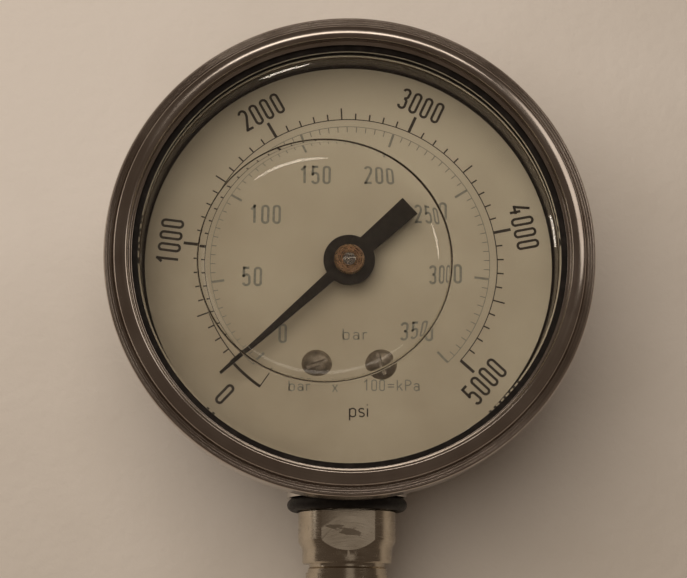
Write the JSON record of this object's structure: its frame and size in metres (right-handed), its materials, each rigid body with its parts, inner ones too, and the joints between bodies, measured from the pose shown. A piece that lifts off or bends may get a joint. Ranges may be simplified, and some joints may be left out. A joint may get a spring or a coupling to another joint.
{
  "type": "pressure gauge",
  "caption": "Liquid-filled round dial pressure gauge with a crimped steel bezel, clear window, swinging pointer and a threaded bottom connection.",
  "frame": {"origin": "centre of the case's flat back face, on the pointer's axis", "axes": "+Z out of the dial towards the reader (pointer axis), -Y along the stem towards the connection, +X to the reader's right"},
  "size_m": [0.0686, 0.0918, 0.032],
  "materials": {
    "drawn_steel": "drawn stainless steel, satin, with light handling marks",
    "polished_steel": "turned and rolled stainless steel, worn bright along the rim",
    "black_rubber": "matt black nitrile rubber",
    "clear_window": "clear polycarbonate, slightly yellowed",
    "dial_enamel": "off-white baked enamel on aluminium, printed scales",
    "screw_steel": "plain steel screw, slightly dull",
    "pointer_black": "satin black paint on aluminium",
    "turned_brass": "turned brass with fine lathe lines",
    "arbor_steel": "turned stainless steel",
    "spring_bronze": "thin bronze strip",
    "plate_brass": "stamped brass, flat and lightly brushed",
    "tube_bronze": "phosphor bronze tube with heat tint at its brazed ends",
    "socket_metal": "turned and milled metal with a warm tint, scratched on the flats"
  },
  "bodies": {
    "housing": {"case": "drawn_steel", "bezel_ring": "polished_steel", "window_gasket": "black_rubber", "window": "clear_window", "dial": "dial_enamel", "dial_screws": "screw_steel", "hairspring": "spring_bronze", "hairspring_stud": "turned_brass", "bourdon_tube": "tube_bronze", "movement_bottom_plate": "plate_brass", "movement_top_plate": "plate_brass", "movement_pillars": "turned_brass", "pillar_screws": "screw_steel", "movement_screws": "screw_steel", "socket": "socket_metal", "restrictor_screw": "turned_brass", "neck_collar": "polished_steel", "stem_oring": "black_rubber", "back_screws": "screw_steel", "fill_plug": "black_rubber"},
    "pointer_group": {"pointer": "pointer_black", "pointer_boss": "turned_brass", "pinion_arbor": "arbor_steel", "hairspring_collet": "turned_brass"},
    "sector_group": {"sector_gear": "plate_brass", "sector_arbor": "arbor_steel", "sector_link_screw": "screw_steel"},
    "tube_tip": {"tube_end_cap": "turned_brass", "tube_link_screw": "screw_steel"},
    "link_bar": {"link": "plate_brass"}
  },
  "joints": [
    {"name": "pointer_turn", "type": "hinge", "parent": "housing", "child": "pointer_group", "pos_m": [0, 0, 0.02], "axis": [0, 0, -1], "range_deg": [0, 264.7], "stiffness_Nm_per_rad": 0.00002, "deforming": ["hairspring"]},
    {"name": "sector_turn", "type": "hinge", "parent": "housing", "child": "sector_group", "pos_m": [0.01149, -0.00964, 0.0125], "axis": [0, 0, 1], "range_deg": [0, 29.42]},
    {"name": "tip_swing", "type": "hinge", "parent": "housing", "child": "tube_tip", "pos_m": [-0.005, 0.007, 0.0125], "axis": [0, 0, 1], "range_deg": [0, 5.54], "deforming": ["bourdon_tube"]},
    {"name": "link_swing", "type": "hinge", "parent": "tube_tip", "child": "link_bar", "pos_m": [0.0186, -0.0046, 0.0117], "axis": [0, 0, 1], "range_deg": [-5.56, 0]}
  ],
  "couplings": [
    {"joint": "sector_turn", "follows": "pointer_turn", "ratio": 0.11111},
    {"joint": "tip_swing", "follows": "pointer_turn", "ratio": 0.020918},
    {"joint": "link_swing", "follows": "pointer_turn", "ratio": -0.021}
  ]
}
